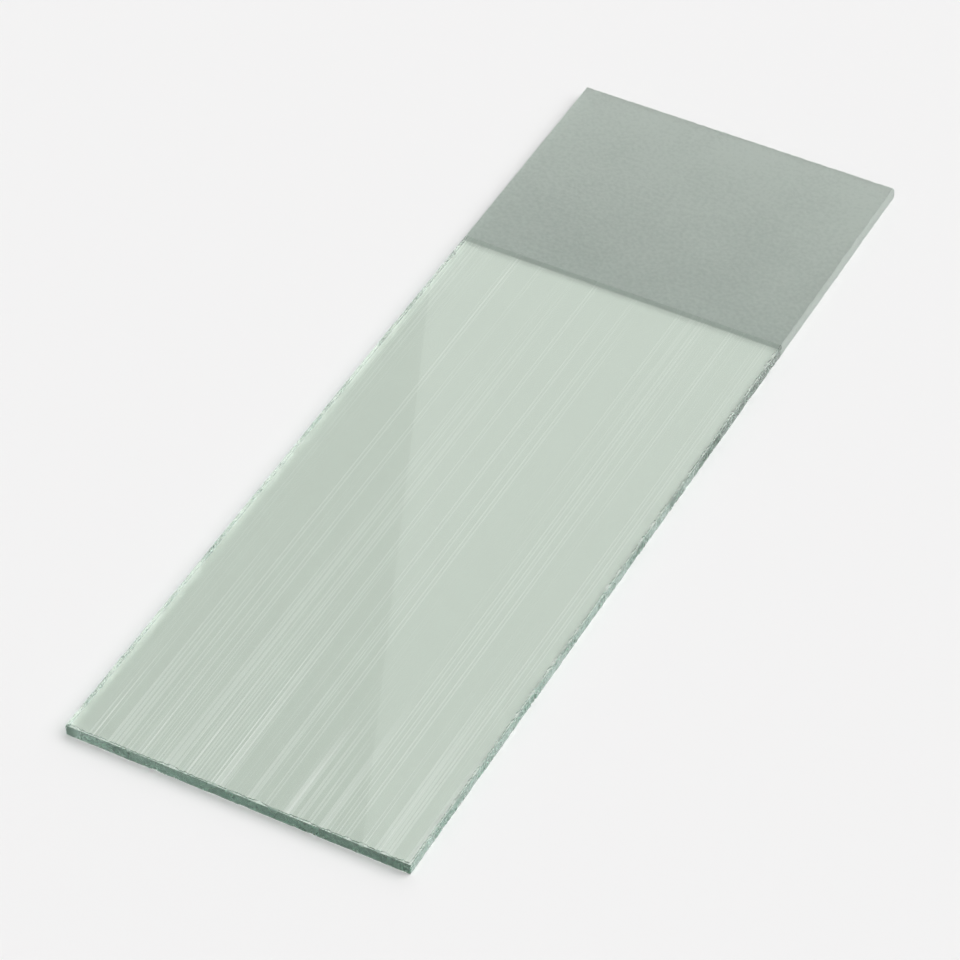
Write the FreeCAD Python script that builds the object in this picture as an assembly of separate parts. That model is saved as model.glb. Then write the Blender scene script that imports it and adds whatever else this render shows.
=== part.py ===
"""Microscope slide: one flat plate of soda-lime glass with cut edges and a frosted writing area at one end.

The sheet was scored on its upper face and snapped, first into strips as wide as the slide and then
across into single slides, so every side has the same section and the corners are where two cuts cross.
Nothing was ground afterwards. Both faces are blasted matt over the same length at one end.

Millimetres. +Y runs to the frosted end, +Z up out of the scored face. The origin is at the middle of
the face that the slide lies on.
"""

import FreeCAD
import Part
import math
import os

# Plate
LENGTH = 76.0
WIDTH = 26.0
THICKNESS = 1.0

# Frosted writing area, on both faces, from the end of the plate and right across it
FROSTED_LENGTH = 20.0
BLAST_DEPTH = 0.015

# Cut edge in section, from the scored face down to the face where the crack came out
FLAKE_WIDTH = 0.14
FLAKE_DEPTH = 0.08
FLAKE_HOLLOW = 0.012
VENT_STEP = 0.03
VENT_DEPTH = 0.20
VENT_FOOT = 0.04
CURL_HEIGHT = 0.08
CURL_RADIUS = 0.10

# How far a cutting body runs past what it cuts
OVERRUN = 1.0


def cut_edge(reach):
    """The section of one cut edge whose snapped face stands at reach, as curves from top to bottom."""

    def point(inward, height):
        return FreeCAD.Vector(reach - inward, 0, height)

    score = point(FLAKE_WIDTH, THICKNESS)
    flake_foot = point(VENT_STEP, THICKNESS - FLAKE_DEPTH)
    vent_foot = point(VENT_STEP, THICKNESS - VENT_DEPTH + VENT_FOOT)
    snapped_top = point(0, THICKNESS - VENT_DEPTH)
    snapped_foot = point(0, CURL_HEIGHT)

    # The flake is a shallow scoop: its middle lies FLAKE_HOLLOW below the chord, inside the glass.
    chord = flake_foot - score
    into_glass = FreeCAD.Vector(chord.z, 0, -chord.x).normalize()
    scoop = score + chord * 0.5 + into_glass * FLAKE_HOLLOW

    # The curl leaves the snapped face as its tangent and meets the lower face at a sharp arris.
    def on_curl(height):
        drop = CURL_HEIGHT - height
        return point(CURL_RADIUS - math.sqrt(CURL_RADIUS**2 - drop**2), height)

    return [
        Part.Arc(score, scoop, flake_foot).toShape(),
        Part.LineSegment(flake_foot, vent_foot).toShape(),
        Part.LineSegment(vent_foot, snapped_top).toShape(),
        Part.LineSegment(snapped_top, snapped_foot).toShape(),
        Part.Arc(snapped_foot, on_curl(CURL_HEIGHT / 2), on_curl(0)).toShape(),
    ]


def strip_section(span):
    """The whole section of a strip of glass, span wide, with a cut edge at each side."""
    right = cut_edge(span / 2)
    left = [edge.mirror(FreeCAD.Vector(0, 0, 0), FreeCAD.Vector(1, 0, 0)) for edge in right]
    upper = Part.LineSegment(left[0].firstVertex().Point, right[0].firstVertex().Point).toShape()
    lower = Part.LineSegment(left[-1].lastVertex().Point, right[-1].lastVertex().Point).toShape()
    ordered = Part.sortEdges([upper, lower] + right + left)[0]
    return Part.Face(Part.Wire(ordered))


def strip(span, run):
    """A strip of glass, span wide along X and run long along Y, centred on the origin."""
    section = strip_section(span)
    section.translate(FreeCAD.Vector(0, -run / 2, 0))
    return section.extrude(FreeCAD.Vector(0, run, 0))


def cut_plate():
    """The plate: what two strips have in common when one is cut across the other."""
    along = strip(WIDTH, LENGTH + 2 * OVERRUN)
    across = strip(LENGTH, WIDTH + 2 * OVERRUN)
    across.rotate(FreeCAD.Vector(0, 0, 0), FreeCAD.Vector(0, 0, 1), 90)
    return along.common(across)


def blast(floor):
    """What blasting takes off the plate above or below its frosted end, as a block from floor upwards."""
    size = (WIDTH + 2 * OVERRUN, FROSTED_LENGTH + OVERRUN, OVERRUN)
    corner = FreeCAD.Vector(-size[0] / 2, LENGTH / 2 - FROSTED_LENGTH, floor)
    return Part.makeBox(*size, corner)


def slide():
    """The finished slide."""
    upper = blast(THICKNESS - BLAST_DEPTH)
    lower = blast(BLAST_DEPTH - OVERRUN)
    return cut_plate().cut(upper).cut(lower)


def main():
    shape = slide()
    solid = shape.Solids[0]
    box = solid.BoundBox
    print("solids", len(shape.Solids), "valid", solid.isValid(), "faces", len(solid.Faces))
    print("size", round(box.XLength, 4), round(box.YLength, 4), round(box.ZLength, 4))
    print("volume", round(solid.Volume, 2), "mm3")
    os.makedirs("parts", exist_ok=True)
    solid.exportStep("parts/slide.step")


main()
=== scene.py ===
"""A microscope slide: one glass plate with snapped edges and a frosted end, lying on a pale table.

The plate is a single closed mesh that stands for the CAD plate and stays inside its box. Round all four
sides it has what a scored and snapped edge has, from the top down: flakes along the score, the upright
ribs of the crack that the wheel opened, the glassy face that the snap made, rippled where the crack ran
unevenly, and a curl where it came out. The two broad faces are flat, and blasted matt over one end.

Sizes are millimetres until the mesh is made, and metres from there on. +Y runs to the frosted end.
"""

import math

import bpy
import numpy as np
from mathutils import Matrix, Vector
from mathutils.geometry import delaunay_2d_cdt


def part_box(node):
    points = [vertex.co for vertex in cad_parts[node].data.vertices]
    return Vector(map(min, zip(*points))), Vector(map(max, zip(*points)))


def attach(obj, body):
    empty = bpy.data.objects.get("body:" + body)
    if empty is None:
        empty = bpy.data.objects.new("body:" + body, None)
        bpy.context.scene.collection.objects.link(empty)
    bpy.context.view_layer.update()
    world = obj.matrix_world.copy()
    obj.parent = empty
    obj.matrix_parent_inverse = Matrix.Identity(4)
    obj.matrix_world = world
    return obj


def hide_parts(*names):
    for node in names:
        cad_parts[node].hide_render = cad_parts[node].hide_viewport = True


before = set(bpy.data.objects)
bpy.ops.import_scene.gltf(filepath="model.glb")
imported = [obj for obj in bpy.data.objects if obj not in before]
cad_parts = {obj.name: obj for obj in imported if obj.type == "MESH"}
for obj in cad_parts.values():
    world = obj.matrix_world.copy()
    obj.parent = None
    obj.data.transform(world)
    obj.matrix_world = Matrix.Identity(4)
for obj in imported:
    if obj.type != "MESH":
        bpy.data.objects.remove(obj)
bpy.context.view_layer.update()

MM = 0.001

# Plate, from the CAD node
LOW, HIGH = (np.array(corner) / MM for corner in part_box("slide"))
WIDTH, LENGTH, THICKNESS = HIGH - LOW

# Frosted area: how much of the length it takes, how deep it lies, and how wide the step to it is
FROSTED_LENGTH = 20.0
FROST_START = HIGH[1] - FROSTED_LENGTH
BLAST_DEPTH = 0.015
BLAST_STEP = 0.02

# Mesh: spacing of the columns of points round the plate and of the points inside the broad faces, and
# how clear of the step those stay
COLUMN_STEP = 0.05
FACE_GRID = 1.5
STEP_CLEARANCE = FACE_GRID / 4

# The stretch beside a corner over which the insets of its two sides come to meet in a mitre
CORNER_ZONE = 1.0

# Nearer than these, a point counts as on a line, and as the same as another point
ON_LINE = 1e-6
MERGE_DISTANCE = 1e-7

# Cut edge: distances in from the side's plane (insets) and down from the upper face (depths)
SCORE_INSET = 0.08
SCORE_JITTER = 0.016
LEAST_SCORE = 0.03
FLAKE_DEPTH = 0.07
FLAKE_HOLLOW = 0.012
CRACK_INSET = 0.025
CRACK_DEPTH = 0.19
CRACK_JITTER = 0.018
CRACK_RUNOUT = 0.03
RIB_DEPTH = 0.006
CURL_HEIGHT = 0.08
CURL_INSET = 0.045

# Rows of points down the cut edge: shares of the way down the flake and down the crack, and counts
FLAKE_SHARES = (0.3, 0.65)
CRACK_SHARES = (0.0, 0.5, 1.0)
SNAPPED_ROWS = 10
CURL_ROWS = 3

# Chips, each kind as the mean distance from one to the next and the length and depth of the largest.
# A chip's size beside the largest is the square of a number from an even draw, so most are small.
SHELLS = (1.0, 0.9, 0.12)
NICKS = (0.2, 0.30, 0.06)
LOWER_SHELLS = (2.4, 0.8, 0.09)
CHIP_SIZE_ROOTS = (0.25, 1.0)

# How far a chip's bite also moves the foot of the flake, the foot of the crack and the top of the curl
FLAKE_PER_SHELL = 0.25
FLAKE_PER_NICK = 0.4
CRACK_PER_SHELL = 0.35
CURL_PER_SHELL = 0.5

# Random waves, as how many are summed, the longest and the shortest, and the spread of their crests'
# lean in radians. Each sum has a mean of 0 and a spread of 1.
FINE_WAVES = (40, 0.9, 0.16, 0.0)
SLOW_WAVES = (30, 4.0, 0.7, 0.0)
RIB_WAVES = (30, 0.5, 0.13, 0.15)
BROAD_WAVES = (30, 3.0, 0.7, 0.6)
PEBBLE_WAVES = (60, 0.7, 0.22, 0.9)
FADING_WAVES = (12, 16.0, 4.0, 0.0)
SEED = 20

# Parts that the fine and the slow waves have in the score's wander, and the slow ones in the curl's width
FINE_SHARE = 0.6
SLOW_SHARE = 0.8
CURL_SHARE = 0.25

# Ripples of the snapped face: broad waves, and a pebbled grain that comes and goes along the edge. The
# middle level holds nearly all of both inside the plate, and the least inset the rest.
WAVE_DEPTH = 0.005
PEBBLE_DEPTH = 0.016
MIDDLE_LEVEL = 1.5
LEAST_INSET = 0.0005
PEBBLE_MEAN = 0.8
PEBBLE_SWING = 0.7
PEBBLE_RANGE = (0.1, 2.0)

# How rough the edge is along the frosted area, where the blast has worn it, against 1 elsewhere
WORN = 0.4

# Map: the two broad faces side by side, then the edges as strips drawn taller than they are. The long
# sides' strips stand side by side, and the two ends share the next place, one above the other.
MAP_SPAN = 80.0
MAP_GAP = 1.0
STRIP_HEIGHT = 5.5
STRIP_ACROSS = np.array([0, 2, 1, 2])
STRIP_UP = np.array([0, 0, 0, 1])

# What each surface lets through or gives back, as a colour
CLEAR_FACE = (0.712, 0.766, 0.714, 1)
# The lighter streak colour is painted highlight, laid as lines along the clear face
CLEAR_PAINTED_HIGHLIGHT = (0.98, 1.0, 0.98, 1)
CLEAR_EDGE = (0.93, 0.96, 0.94, 1)
FROST_DARK = (0.50, 0.56, 0.52, 1)
FROST_LIGHT = (0.685, 0.74, 0.695, 1)
FROST_EDGE = (0.80, 0.87, 0.82, 1)

# Inside, the glass takes light over centimetres, which shows where one looks along the plate
INSIDE_COLOUR = (0.48, 0.67, 0.59, 1)
INSIDE_DENSITY = 30.0
REFRACTIVE_INDEX = 1.52

# The surface counts as a broad face or as an edge by the height of its unit normal
FACE_NORMAL = 0.98
EDGE_NORMAL = 0.95

# The clear edge is glassy in some places and hackled in others: the noise that says where, the levels
# between which the one turns into the other, and how rough each is
HACKLE_SCALE = 0.9
HACKLE_LEVELS = (0.42, 0.62)
CLEAR_EDGE_ROUGHNESS = (0.05, 0.35)

# Painted highlight lines along the clear part of the upper face, lighter streaks in its colour: what
# stands above a level in a noise that is drawn out along the plate. A lift brings more of them out at the
# clear end, and they fade from there on.
PAINTED_LINE_SCALE = 5.0
PAINTED_LINE_PLACE = (0.0, 0.23, 0.41)
PAINTED_LINE_STRETCH = (1.0, 0.0025, 0.0)
PAINTED_LINE_LEVELS = (0.675, 0.74)
PAINTED_LINE_LIFT = 0.10
PAINTED_LINE_FADED = 0.35

# Frosting: how much light goes through, how rough it is, and the parts that clouds, grain and painted
# light, which makes it lighter towards the plate's end, have in its lightness
FROST_THROUGH = 0.68
FROST_ROUGHNESS = 0.55
FROST_EDGE_ROUGHNESS = 0.30
CLOUD_SCALE = 0.22
CLOUD_SHARE = 0.5
GRAIN_SCALE = 3.2
GRAIN_LEVELS = (0.3, 0.7)
GRAIN_SHARE = 0.5
GRAIN_RELIEF = 0.03
PAINTED_LIGHT_AT_END = 0.5

# Table
TABLE_SIZE = 6.0
TABLE_GAP = 0.03 * MM
TABLE_COLOUR = (0.92, 0.915, 0.915, 1)
TABLE_ROUGHNESS = 0.75
TABLE_SHINE = 0.2

# Lamps, each with the azimuth and elevation it stands at
SUN_PLACE = (120, 55)
SUN_WIDTH = 60
SUN_STRENGTH = 1.88
WINDOW_PLACE = (198, 44)
WINDOW_SIZE = (0.30, 0.60)
WINDOW_POWER = 0.30
LAMP_DISTANCE = 1.0

# Sky: how much light it gives, how bright it looks, the heights between which it comes to look so
# through the glass, and a glow that rises from one angle off its middle to another
SKY_LEVEL = 0.45
SKY_SEEN = 1.0
HORIZON_TOP = 0.5
HORIZON_FOOT = 0.1
GLOW_PLACE = (208, 36)
GLOW_OUTER = 16
GLOW_INNER = 4
GLOW_LEVEL = 0.55

# Camera
CAMERA_PLACE = (28, 44)
CAMERA_DISTANCE = 0.30
CAMERA_AIM = Vector((-0.2, -3.7, 0.0)) * MM
CAMERA_NEAREST = 0.01
LENS = 160

# How often light may be mirrored or refracted on its way
BOUNCES = 96


# Random surfaces and chips


def wave_field(rng, count, longest, shortest, lean):
    """A smooth random function of (along, height): a sum of sine waves between two wavelengths."""
    length = np.exp(rng.uniform(math.log(shortest), math.log(longest), count))
    turn = rng.normal(0.0, lean, count)
    phase = rng.uniform(0, 2 * math.pi, count)
    number = 2 * math.pi / length

    def field(along, height):
        across = np.multiply.outer(along, number * np.cos(turn))
        upright = np.multiply.outer(height, number * np.sin(turn))
        return np.sin(across + upright + phase).sum(-1) * math.sqrt(2 / count)

    return field


def chips(rng, around, run, every, longest, deepest):
    """How deep shell-shaped chips bite into an edge of length run, from 0 where there is none."""
    depth = np.zeros(len(around))
    for _ in range(int(run / every)):
        middle = rng.uniform(0, run)
        size = rng.uniform(*CHIP_SIZE_ROOTS) ** 2
        reach = np.clip(1 - ((around - middle) / (0.5 * longest * size)) ** 2, 0, None)
        depth = np.maximum(depth, deepest * size * np.sqrt(reach))
    return depth


# The plate's rim


def columns():
    """Places round the plate, a dictionary of arrays: each column's side, that side's outward and
    forward unit vectors, reach and half run, its place along the side, and the way round to it."""
    half = np.array([WIDTH / 2, LENGTH / 2])
    outward = np.array([[1, 0], [0, 1], [-1, 0], [0, -1]], float)
    sides = []
    travelled = 0.0
    for number, out in enumerate(outward):
        forward = outward[(number + 1) % 4]
        run = half @ np.abs(forward)
        place = np.linspace(-run, run, round(2 * run / COLUMN_STEP) + 1)[:-1]
        if number % 2 == 0:
            place = with_step(place, forward[1])
        count = len(place)
        sides.append(
            {
                "side": np.full(count, number),
                "out": np.tile(out, (count, 1)),
                "forward": np.tile(forward, (count, 1)),
                "reach": np.full(count, half @ np.abs(out)),
                "run": np.full(count, run),
                "place": place,
                "around": travelled + place + run,
            }
        )
        travelled += 2 * run
    return {name: np.concatenate([side[name] for side in sides]) for name in sides[0]}


def with_step(place, sign):
    """The places along a long side, with the two lines of the step to the frosted area among them."""
    step = np.array([FROST_START, FROST_START + BLAST_STEP]) * sign
    near = np.abs(place[:, None] - step).min(1) < COLUMN_STEP / 2
    return np.sort(np.concatenate([place[~near], step]))


def blasted(y):
    """How far the blasted faces lie below the clear ones at y."""
    return BLAST_DEPTH * np.clip((y - FROST_START) / BLAST_STEP, 0, 1)


def roughness_left(column):
    """1 on the clear part of the plate and WORN along the frosted area, per column."""
    y = column["out"][:, 1] * LENGTH / 2 + column["forward"][:, 1] * column["place"]
    return np.where(y > FROST_START, WORN, 1.0)


def edge_rows(column):
    """The rows of the cut edge from the score down to the lower arris, each as an inset and a height
    per column, and the numbers of the rows that are creases."""
    rng = np.random.default_rng(SEED)
    around = column["around"]
    whole = 2 * (WIDTH + LENGTH)
    level = np.zeros(1)
    fine = wave_field(rng, *FINE_WAVES)
    slow = wave_field(rng, *SLOW_WAVES)
    left = roughness_left(column)
    shell = left * chips(rng, around, whole, *SHELLS)
    nick = left * chips(rng, around, whole, *NICKS)

    wander = left * (FINE_SHARE * fine(around, level) + SLOW_SHARE * slow(around, level))
    score = np.clip(SCORE_INSET + SCORE_JITTER * wander, LEAST_SCORE, None) + shell + nick
    flake = FLAKE_DEPTH + FLAKE_PER_SHELL * shell + FLAKE_PER_NICK * nick
    crack = CRACK_DEPTH + CRACK_JITTER * fine(around + whole, level) + CRACK_PER_SHELL * shell
    crack = np.maximum(crack, flake + 2 * CRACK_RUNOUT)
    rows = flake_rows(score, flake) + crack_rows(rng, around, flake, crack)

    lower_shell = chips(rng, around, whole, *LOWER_SHELLS)
    curl_top = CURL_HEIGHT + CURL_PER_SHELL * lower_shell
    curl = CURL_INSET * (1 + CURL_SHARE * slow(around + whole, level)) + lower_shell
    face = snapped_face(rng, column)
    for share in np.linspace(0, 1, SNAPPED_ROWS):
        height = (THICKNESS - crack) * (1 - share) + curl_top * share
        rows.append((face(height), height))
    rows += curl_rows(rows[-1][0], curl, curl_top)

    flake_foot = 1 + len(FLAKE_SHARES)
    snapped_top = flake_foot + len(CRACK_SHARES)
    return rows, (0, flake_foot, snapped_top - 1, snapped_top, len(rows) - 1)


def flake_rows(score, flake):
    """The rows down the hollow flake, from the score to above the crack's band."""
    rows = [(score, np.full_like(score, THICKNESS))]
    for share in FLAKE_SHARES:
        hollow = FLAKE_HOLLOW * math.sin(math.pi * share)
        inset = score + (CRACK_INSET - score) * share + hollow
        rows.append((inset, THICKNESS - flake * share - hollow))
    return rows


def crack_rows(rng, around, flake, crack):
    """The rows down the ribbed band of the crack, from the flake's foot to where it runs out."""
    ribs = wave_field(rng, *RIB_WAVES)
    rows = []
    for share in CRACK_SHARES:
        height = THICKNESS - flake - (crack - CRACK_RUNOUT - flake) * share
        rows.append((CRACK_INSET + RIB_DEPTH * ribs(around, height), height))
    return rows


def curl_rows(foot, curl, curl_top):
    """The rows round the curl, from below the snapped face's foot to the lower arris."""
    rows = []
    for turn in np.linspace(0, math.pi / 2, CURL_ROWS + 1)[1:]:
        inset = foot + (curl - foot) * (1 - math.cos(turn))
        rows.append((inset, curl_top * (1 - math.sin(turn))))
    return rows


def snapped_face(rng, column):
    """A function that gives the snapped face's inset at a height, per column."""
    around = column["around"]
    broad = wave_field(rng, *BROAD_WAVES)
    pebbles = wave_field(rng, *PEBBLE_WAVES)
    comes_and_goes = wave_field(rng, *FADING_WAVES)(around, np.zeros(1))
    pebbled = np.clip(PEBBLE_MEAN + PEBBLE_SWING * comes_and_goes, *PEBBLE_RANGE)
    pebbled = roughness_left(column) * pebbled

    def inset(height):
        waves = WAVE_DEPTH * (MIDDLE_LEVEL + broad(around, height))
        grain = PEBBLE_DEPTH * pebbled * (MIDDLE_LEVEL + pebbles(around, height))
        return np.clip(waves + grain, LEAST_INSET, None)

    return inset


def ring_points(column, inset, height):
    """One row of the edge as points round the plate, mitred at the corners."""
    place, run = column["place"], column["run"]
    past = np.clip(np.abs(place) - (run - CORNER_ZONE), 0, None)
    mitred = place - np.sign(place) * past / CORNER_ZONE * inset
    outwards = column["out"] * (column["reach"] - inset)[:, None]
    flat = outwards + column["forward"] * mitred[:, None]
    sunk = blasted(flat[:, 1])
    return np.column_stack([flat, sunk + height * (1 - 2 * sunk / THICKNESS)])


# The whole mesh


def grid_points():
    """Points inside the broad faces, clear of their rims and of the step."""
    half = np.array([WIDTH / 2, LENGTH / 2]) - FACE_GRID
    across = np.linspace(-half[0], half[0], round(2 * half[0] / FACE_GRID) + 1)
    lengthwise = np.linspace(-half[1], half[1], round(2 * half[1] / FACE_GRID) + 1)
    lengthwise = lengthwise[np.abs(lengthwise - FROST_START) > STEP_CLEARANCE]
    return np.stack(np.meshgrid(across, lengthwise), -1).reshape(-1, 2)


def face_triangles(rim, inner):
    """Triangles over the points inside a rim, whose numbers come first, with the step's lines as edges."""
    count = len(rim)
    edges = [(i, (i + 1) % count) for i in range(count)]
    for line in (FROST_START, FROST_START + BLAST_STEP):
        ends = np.flatnonzero(np.abs(rim[:, 1] - line) < ON_LINE)
        edges.append((int(ends[0]), int(ends[1])))
    points = [Vector(point) for point in np.concatenate([rim, inner])]
    inside_outline = 1
    found = delaunay_2d_cdt(points, edges, [list(range(count))], inside_outline, MERGE_DISTANCE)
    triangles, sources = found[2], found[3]
    return np.array([[sources[corner][0] for corner in triangle] for triangle in triangles])


def broad_faces(rings, inner):
    """Triangles of the upper and of the lower face. The mesh has the rings' points first, then the
    upper face's inner points and then the lower face's."""
    count = len(rings[0])
    last_ring = (len(rings) - 1) * count
    upper = face_triangles(rings[0][:, :2], inner)
    upper = np.where(upper < count, upper, upper + last_ring)
    lower = face_triangles(rings[-1][:, :2], inner)[:, ::-1]
    lower = np.where(lower < count, lower, lower + len(inner)) + last_ring
    return upper, lower


def rim_quads(rings):
    """Quads between each ring and the one below it."""
    count = len(rings[0])
    here = np.arange(count)
    after = np.roll(here, -1)
    quads = []
    for top in range(0, (len(rings) - 1) * count, count):
        below = top + count
        quads.append(np.stack([top + here, below + here, below + after, top + after], 1))
    return np.concatenate(quads)


def slide_mesh():
    """The plate as one closed mesh, creased at its arrises, with a map of its surface."""
    column = columns()
    rows, creases = edge_rows(column)
    rings = [ring_points(column, inset, height) for inset, height in rows]
    inner = grid_points()
    sunk = blasted(inner[:, 1])
    upper_inner = np.column_stack([inner, THICKNESS - sunk])
    lower_inner = np.column_stack([inner, sunk])
    vertices = np.concatenate(rings + [upper_inner, lower_inner])
    upper, lower = broad_faces(rings, inner)

    mesh = bpy.data.meshes.new("slide_glass")
    faces = upper.tolist() + lower.tolist() + rim_quads(rings).tolist()
    mesh.from_pydata((vertices * MM).tolist(), [], faces)
    smooth = np.arange(len(faces)) >= len(upper) + len(lower)
    mesh.polygons.foreach_set("use_smooth", smooth)
    crease(mesh, len(rings[0]), creases)
    map_surface(mesh, vertices, upper, lower, column, len(rings))
    return mesh


def crease(mesh, count, rows):
    """Makes the edges that run round the plate on the given rows sharp."""
    ends = np.empty(2 * len(mesh.edges), np.int32)
    mesh.edges.foreach_get("vertices", ends)
    row = ends.reshape(-1, 2) // count
    sharp = (row[:, 0] == row[:, 1]) & np.isin(row[:, 0], rows)
    layer = mesh.attributes.new("sharp_edge", "BOOLEAN", "EDGE")
    layer.data.foreach_set("value", sharp)


def map_surface(mesh, vertices, upper, lower, column, ring_count):
    """Lays the surface out flat: both broad faces and the four sides of the cut edge."""
    flat = vertices[:, :2] + [WIDTH / 2, LENGTH / 2] + MAP_GAP
    lower_shift = np.array([WIDTH + MAP_GAP, 0])
    places = [flat[upper.ravel()], flat[lower.ravel()] + lower_shift]

    side, run = column["side"], column["run"]
    along = column["place"] + run
    after = np.where(np.roll(side, -1) == side, np.roll(along, -1), 2 * run)
    first_strip = 2 * (WIDTH + MAP_GAP) + MAP_GAP
    left = (first_strip + (STRIP_HEIGHT + MAP_GAP) * STRIP_ACROSS)[side]
    foot = (MAP_GAP + (WIDTH + MAP_GAP) * STRIP_UP)[side]
    row_height = STRIP_HEIGHT / (ring_count - 1)
    for row in range(ring_count - 1):
        top = left + row_height * row
        below = top + row_height
        corners = [(top, foot + along), (below, foot + along), (below, foot + after), (top, foot + after)]
        places.append(np.stack([np.stack(corner, 1) for corner in corners], 1).reshape(-1, 2))
    layer = mesh.uv_layers.new(name="OFBake")
    layer.uv.foreach_set("vector", (np.concatenate(places) / MAP_SPAN).astype(np.float32).ravel())


# Materials


def shader(name):
    """A new node material: the material, its tree and its output node."""
    material = bpy.data.materials.new(name)
    material.use_nodes = True
    tree = material.node_tree
    tree.nodes.clear()
    return material, tree, tree.nodes.new("ShaderNodeOutputMaterial")


def node(tree, kind, inputs=None, **settings):
    """A new node with its settings made, its plain inputs set and its socket inputs linked."""
    made = tree.nodes.new("ShaderNode" + kind)
    for name, value in settings.items():
        setattr(made, name, value)
    for name, value in (inputs or {}).items():
        if isinstance(value, bpy.types.NodeSocket):
            tree.links.new(value, made.inputs[name])
        else:
            made.inputs[name].default_value = value
    return made


def ramp(tree, value, start, end, low=0.0, high=1.0):
    """low until value reaches start, high from end on, and a straight line between."""
    inputs = {"Value": value, "From Min": start, "From Max": end, "To Min": low, "To Max": high}
    return node(tree, "MapRange", inputs).outputs[0]


def between(tree, share, first, second):
    """The number that lies a share of the way from first to second."""
    return ramp(tree, share, 0, 1, first, second)


def maths(tree, operation, *values):
    """The result of a sum on numbers and sockets."""
    return node(tree, "Math", dict(enumerate(values)), operation=operation).outputs[0]


def blend(tree, share, first, second):
    """A colour between first and second, which are colours or colour sockets."""
    # A Mix node has its two colours at inputs 6 and 7 and its mixed colour at output 2.
    colour_inputs = {0: share, 6: first, 7: second}
    return node(tree, "Mix", colour_inputs, data_type="RGBA").outputs[2]


def noise(tree, place, scale, detail=1.0):
    """Smooth noise about 0.5, with scale cells to a millimetre."""
    return node(tree, "TexNoise", {"Vector": place, "Scale": scale, "Detail": detail}).outputs[0]


def painted_highlight_lines(tree, place, along, upright):
    """How strongly a painted highlight line shows, from 0 to 1, which it does on the upper face alone."""
    drawn_out = {"Vector": place, "Location": PAINTED_LINE_PLACE, "Scale": PAINTED_LINE_STRETCH}
    stretched = node(tree, "Mapping", drawn_out).outputs[0]
    lift = ramp(tree, along, LOW[1], FROST_START, PAINTED_LINE_LIFT, 0.0)
    level = maths(tree, "ADD", noise(tree, stretched, PAINTED_LINE_SCALE, 0.0), lift)
    strength = ramp(tree, along, LOW[1], FROST_START, 1.0, PAINTED_LINE_FADED)
    lines = ramp(tree, level, *PAINTED_LINE_LEVELS, 0.0, strength)
    return maths(tree, "MULTIPLY", ramp(tree, upright, EDGE_NORMAL, FACE_NORMAL), lines)


def frost_mottle_and_painted_light(tree, place, along, grain):
    """Where the frosting stands between its dark and its light: cloudy, speckled, and lighter at the end
    as painted light.
    """
    # Painted light: the frosting is made lighter towards the plate's end, and so darker by the clear part
    painted_end_light = ramp(tree, along, FROST_START, HIGH[1], 0.0, PAINTED_LIGHT_AT_END)
    cloudy = maths(tree, "MULTIPLY_ADD", noise(tree, place, CLOUD_SCALE), CLOUD_SHARE, painted_end_light)
    return maths(tree, "MULTIPLY_ADD", ramp(tree, grain, *GRAIN_LEVELS), GRAIN_SHARE, cloudy)


def glass():
    """Soda-lime glass, clear on most of the plate and blasted matt at one end."""
    material, tree, output = shader("glass")
    coordinates = node(tree, "TexCoord").outputs
    to_mm = {"Vector": coordinates["Object"], "Scale": 1 / MM}
    place = node(tree, "VectorMath", to_mm, operation="SCALE").outputs[0]
    along = node(tree, "SeparateXYZ", {"Vector": place}).outputs["Y"]
    upright = node(tree, "SeparateXYZ", {"Vector": coordinates["Normal"]}).outputs["Z"]
    frosted = ramp(tree, along, FROST_START, FROST_START + BLAST_STEP)
    edge = ramp(tree, maths(tree, "ABSOLUTE", upright), FACE_NORMAL, EDGE_NORMAL)
    grain = noise(tree, place, GRAIN_SCALE)

    # The clear face's colour carries painted highlight lines, lighter streaks along the plate
    clear_face = blend(tree, painted_highlight_lines(tree, place, along, upright), CLEAR_FACE, CLEAR_PAINTED_HIGHLIGHT)
    # The frosting's colour is cloudy and grained, with painted light towards the plate's end
    frost_face = blend(tree, frost_mottle_and_painted_light(tree, place, along, grain), FROST_DARK, FROST_LIGHT)
    clear_colour = blend(tree, edge, clear_face, CLEAR_EDGE)
    frost_colour = blend(tree, edge, frost_face, FROST_EDGE)
    hackle = ramp(tree, noise(tree, place, HACKLE_SCALE), *HACKLE_LEVELS, *CLEAR_EDGE_ROUGHNESS)
    clear_roughness = maths(tree, "MULTIPLY", edge, hackle)
    frost_roughness = between(tree, edge, FROST_ROUGHNESS, FROST_EDGE_ROUGHNESS)
    relief = {"Distance": between(tree, frosted, 0.0, GRAIN_RELIEF * MM), "Height": grain}
    looks = {
        "Base Color": blend(tree, frosted, clear_colour, frost_colour),
        "Roughness": between(tree, frosted, clear_roughness, frost_roughness),
        "IOR": REFRACTIVE_INDEX,
        "Transmission Weight": between(tree, frosted, 1.0, FROST_THROUGH),
        "Normal": node(tree, "Bump", relief).outputs[0],
    }
    surface = node(tree, "BsdfPrincipled", looks)
    inside = node(tree, "VolumeAbsorption", {"Color": INSIDE_COLOUR, "Density": INSIDE_DENSITY})
    tree.links.new(surface.outputs[0], output.inputs["Surface"])
    tree.links.new(inside.outputs[0], output.inputs["Volume"])
    return material


def table_top():
    """A plain pale surface."""
    material, tree, output = shader("table")
    looks = {"Base Color": TABLE_COLOUR, "Roughness": TABLE_ROUGHNESS, "Specular IOR Level": TABLE_SHINE}
    surface = node(tree, "BsdfPrincipled", looks)
    tree.links.new(surface.outputs[0], output.inputs["Surface"])
    return material


# Object and surroundings


def make_slide():
    """The plate, in place of the CAD plate."""
    plate = bpy.data.objects.new("slide_plate", slide_mesh())
    bpy.context.scene.collection.objects.link(plate)
    plate.data.materials.append(glass())
    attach(plate, "root")
    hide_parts("slide")


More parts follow.
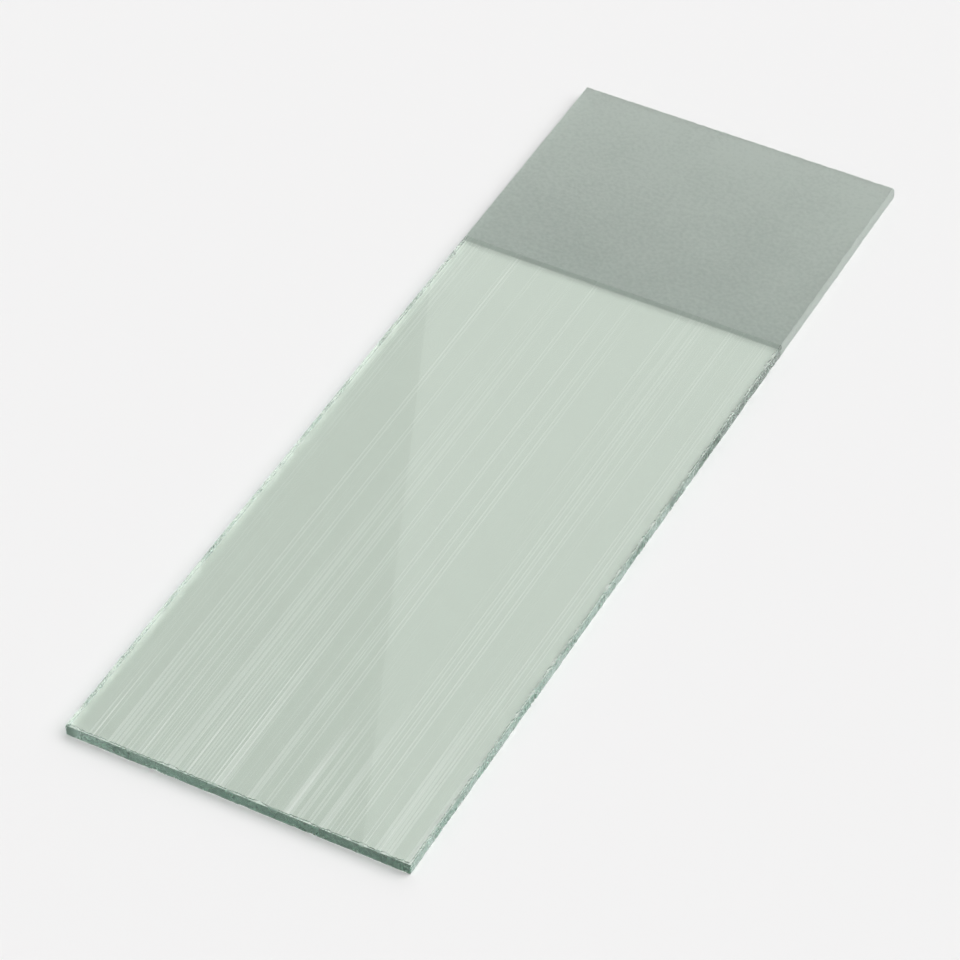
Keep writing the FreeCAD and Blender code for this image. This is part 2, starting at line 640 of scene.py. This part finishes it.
def make_floor():
    """The table, a hair below the plate so that air lies between them."""
    level = LOW[2] * MM - TABLE_GAP
    bpy.ops.mesh.primitive_plane_add(size=TABLE_SIZE, location=(0, 0, level))
    floor = bpy.context.active_object
    floor.name = "floor"
    floor.data.materials.append(table_top())


def towards(azimuth, elevation):
    """The unit vector to a point seen from the plate, azimuth 0 being at -Y and 90 at +X."""
    a, e = math.radians(azimuth), math.radians(elevation)
    return Vector((math.sin(a) * math.cos(e), -math.cos(a) * math.cos(e), math.sin(e)))


def place_facing(name, data, direction, distance, aim):
    """A lamp or camera in a direction and at a distance from aim, turned to look at aim."""
    holder = bpy.data.objects.new(name, data)
    bpy.context.scene.collection.objects.link(holder)
    back = towards(*direction)
    holder.location = aim + back * distance
    holder.rotation_euler = back.to_track_quat("Z", "Y").to_euler()
    return holder


def light_from_afar():
    """A broad, soft light from the right and behind, which falls on the whole table alike."""
    lamp = bpy.data.lights.new("hazy_sun", "SUN")
    lamp.angle = math.radians(SUN_WIDTH)
    lamp.energy = SUN_STRENGTH
    place_facing("hazy_sun", lamp, SUN_PLACE, LAMP_DISTANCE, Vector())


def window():
    """A weak rectangular lamp behind the plate, there for its reflection in the clear face."""
    lamp = bpy.data.lights.new("window", "AREA")
    lamp.shape = "RECTANGLE"
    lamp.size, lamp.size_y = WINDOW_SIZE
    lamp.energy = WINDOW_POWER
    place_facing("window", lamp, WINDOW_PLACE, LAMP_DISTANCE, Vector())


def glow(tree, direction):
    """The light that a broad glow behind the plate adds to the sky in a direction."""
    nearness = node(tree, "VectorMath", {0: direction, 1: towards(*GLOW_PLACE)}, operation="DOT_PRODUCT")
    outer, inner = (math.cos(math.radians(angle)) for angle in (GLOW_OUTER, GLOW_INNER))
    return ramp(tree, nearness.outputs["Value"], outer, inner, 0.0, GLOW_LEVEL)


def seen_as_white(tree, direction):
    """1 for the rays that find the sky as bright as it looks, and 0 for those that find its light: 1 is
    for rays from the camera, mirrored ones, and those through the glass that end low in the sky."""
    rise = node(tree, "SeparateXYZ", {"Vector": direction}).outputs["Z"]
    horizon = ramp(tree, rise, HORIZON_TOP, HORIZON_FOOT)
    ray = node(tree, "LightPath").outputs
    through = ray["Is Transmission Ray"]
    mirrored = maths(tree, "SUBTRACT", ray["Is Glossy Ray"], through)
    seen = maths(tree, "MAXIMUM", ray["Is Camera Ray"], mirrored)
    return maths(tree, "MAXIMUM", seen, maths(tree, "MULTIPLY", through, horizon))


def sky():
    """An even sky that looks white, seen directly or mirrored, and has a broad glow behind the plate."""
    world = bpy.data.worlds.new("sky")
    bpy.context.scene.world = world
    world.use_nodes = True
    tree = world.node_tree
    direction = node(tree, "TexCoord").outputs["Generated"]
    level = between(tree, seen_as_white(tree, direction), SKY_LEVEL, SKY_SEEN)
    strength = maths(tree, "ADD", glow(tree, direction), level)
    background = tree.nodes["Background"]
    background.inputs["Color"].default_value = (1.0, 1.0, 1.0, 1)
    tree.links.new(strength, background.inputs["Strength"])


def make_camera():
    """The camera looks down on the plate, from the right of its clear end."""
    camera = bpy.data.cameras.new("camera")
    camera.lens = LENS
    camera.clip_start = CAMERA_NEAREST
    holder = place_facing("camera", camera, CAMERA_PLACE, CAMERA_DISTANCE, CAMERA_AIM)
    bpy.context.scene.camera = holder


def let_light_through():
    """Light runs the whole length of the plate between its faces, which takes dozens of reflections."""
    cycles = bpy.context.scene.cycles
    cycles.max_bounces = BOUNCES
    cycles.glossy_bounces = BOUNCES
    cycles.transmission_bounces = BOUNCES
    cycles.blur_glossy = 0.0


make_slide()
make_floor()
light_from_afar()
window()
sky()
make_camera()
let_light_through()
bpy.context.scene.view_settings.view_transform = "Standard"
